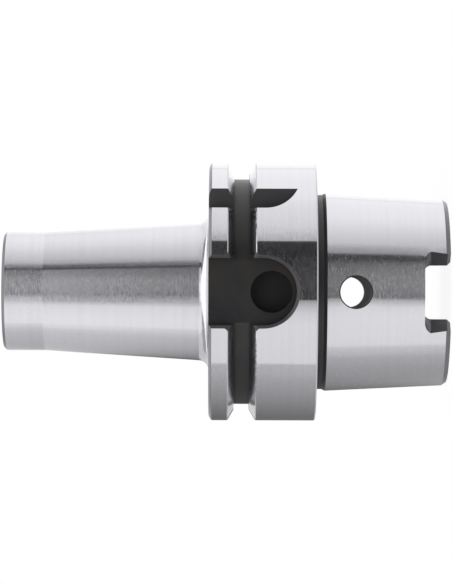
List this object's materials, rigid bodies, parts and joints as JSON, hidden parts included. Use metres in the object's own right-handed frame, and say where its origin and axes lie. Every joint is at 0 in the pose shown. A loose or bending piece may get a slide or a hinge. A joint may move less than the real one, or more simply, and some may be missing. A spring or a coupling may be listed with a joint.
{
  "type": "screw-in cutter holder",
  "caption": "Hollow taper shank tool holder with a grooved, keyed flange and a slightly conical nose whose pilot bore and thread take a screw-in milling cutter head.",
  "frame": {"origin": "centre of the contact face, where the flange meets the spindle nose", "axes": "+Z along the axis towards the nose; -Y out of the first keyway, which holds the data-carrier hole; +X towards the orientation notch's side"},
  "size_m": [0.063, 0.063, 0.108],
  "materials": {
    "hardened_steel": "ground, with dark heat-treated recesses"
  },
  "bodies": {
    "root": {"holder_body": "hardened_steel"}
  },
  "joints": []
}
